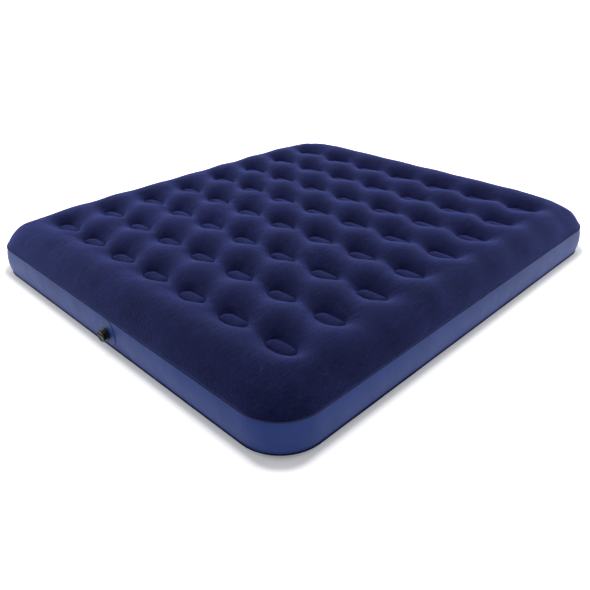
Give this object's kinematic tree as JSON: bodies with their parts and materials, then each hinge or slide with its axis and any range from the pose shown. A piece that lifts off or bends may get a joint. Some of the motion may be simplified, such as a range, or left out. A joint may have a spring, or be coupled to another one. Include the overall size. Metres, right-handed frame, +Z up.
{
  "type": "air mattress",
  "caption": "Inflated flocked air mattress with a dimpled top, smooth vinyl side band and a screw-cap valve at the foot.",
  "frame": {"origin": "on the floor under the middle of the mattress", "axes": "+X across the bed, +Y along the bed towards the head end, +Z up; the valve end faces -Y"},
  "size_m": [1.83, 2.0567, 0.2349],
  "materials": {
    "flocking": "short navy flock pile",
    "vinyl": "satin blue vinyl film",
    "weld": "pressed weld, dark blue",
    "beam_film": "plain vinyl film",
    "flange_vinyl": "satin moulded vinyl",
    "valve_black": "satin black moulding",
    "valve_grey": "satin dark moulding",
    "seal_rubber": "plain rubber",
    "flap_rubber": "translucent grey silicone",
    "pin_steel": "plain wire",
    "cap_black": "satin black moulding with a worn grey rim"
  },
  "bodies": {
    "mattress": {"top_sheet": "flocking", "bottom_sheet": "vinyl", "side_band": "vinyl", "top_seam_lip": "weld", "bottom_seam_lip": "weld", "beam_row_1": "beam_film", "beam_row_2": "beam_film", "beam_row_3": "beam_film", "beam_row_4": "beam_film", "beam_row_5": "beam_film", "beam_row_6": "beam_film", "beam_row_7": "beam_film", "beam_row_8": "beam_film", "valve_flange": "flange_vinyl", "valve_base": "valve_black", "valve_insert": "valve_grey", "insert_gasket": "seal_rubber", "flap_pin": "pin_steel"},
    "seal": {"cap_seal": "seal_rubber"},
    "cap": {"valve_cap": "cap_black"},
    "flap": {"check_flap": "flap_rubber"}
  },
  "joints": [
    {"name": "cap_lift", "type": "slide", "parent": "mattress", "child": "seal", "axis": [0, -1, 0], "range_m": [0, 0.0081]},
    {"name": "cap_turn", "type": "hinge", "parent": "seal", "child": "cap", "pos_m": [0.05, -1.0346, 0.074], "axis": [0, -1, 0], "range_deg": [0, 720]},
    {"name": "flap_swing", "type": "hinge", "parent": "mattress", "child": "flap", "pos_m": [0.05, -1.001, 0.0866], "axis": [1, 0, 0], "range_deg": [0, 55], "stiffness_Nm_per_rad": 0.0005}
  ],
  "couplings": [
    {"joint": "cap_lift", "follows": "cap_turn", "m_per_rad": 0.00063662}
  ]
}
